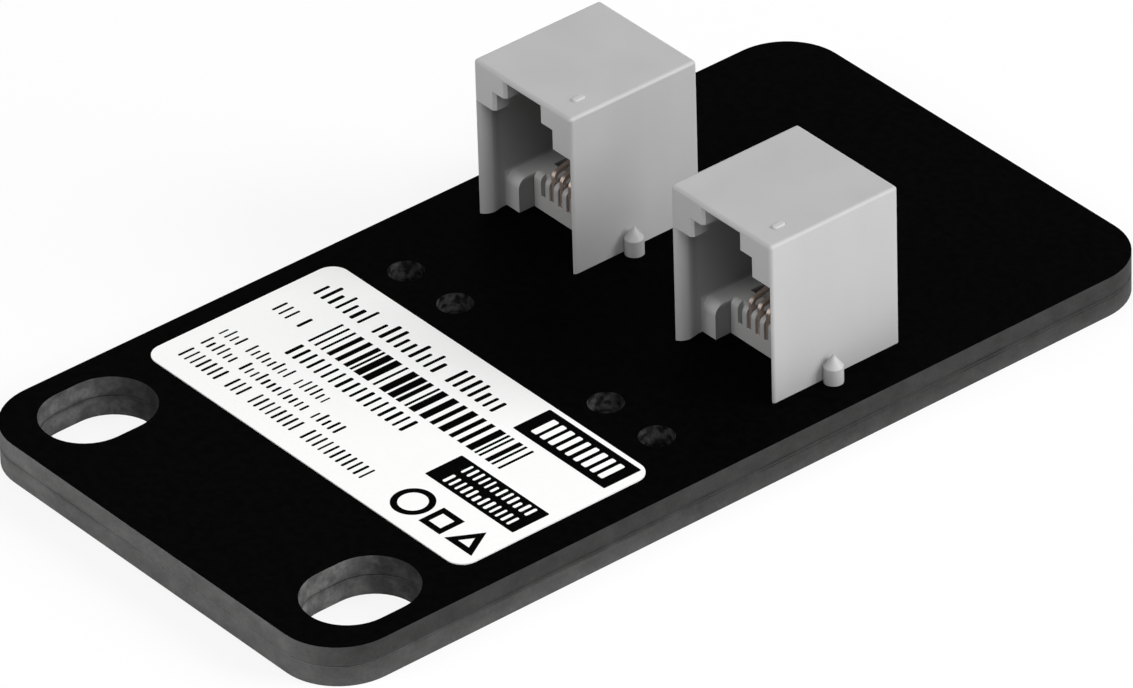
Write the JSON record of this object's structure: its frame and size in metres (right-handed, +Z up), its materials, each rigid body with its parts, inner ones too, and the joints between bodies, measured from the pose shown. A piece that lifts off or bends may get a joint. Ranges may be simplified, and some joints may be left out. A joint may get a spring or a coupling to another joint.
{
  "type": "rack temperature sensor",
  "caption": "Flat black rack-mount temperature sensor plate with two grey modular jacks, slotted screw holes, cable-tie holes and a white label.",
  "frame": {"origin": "middle of the underside", "axes": "+Y along the plate from the screw slots to the plain end, +X across to the right when the jacks' openings face the viewer, +Z up through the jacks"},
  "size_m": [0.0434, 0.082, 0.0179],
  "materials": {
    "board": "matt black mask, grey cut edge",
    "film": "matt",
    "label": "matt coated, printed black",
    "jack": "fine satin",
    "insert": "fine satin",
    "contact": "bright plated",
    "solder": "bright",
    "chip": "matt moulded",
    "lead": "tinned",
    "capacitor": "matt"
  },
  "bodies": {
    "root": {"upper_board": "board", "lower_board": "board", "bonding_film": "film", "label": "label", "jack_housing_left": "jack", "jack_housing_right": "jack", "contact_insert_left": "insert", "contact_insert_right": "insert", "solder_joints_left": "solder", "solder_joints_right": "solder", "temperature_chip": "chip", "temperature_chip_leads": "lead", "capacitor_body": "capacitor", "capacitor_end_caps": "lead", "surge_diode": "chip", "surge_diode_leads": "lead", "contact_left_1": "contact", "contact_left_2": "contact", "contact_left_3": "contact", "contact_left_4": "contact", "contact_right_1": "contact", "contact_right_2": "contact", "contact_right_3": "contact", "contact_right_4": "contact"}
  },
  "joints": []
}
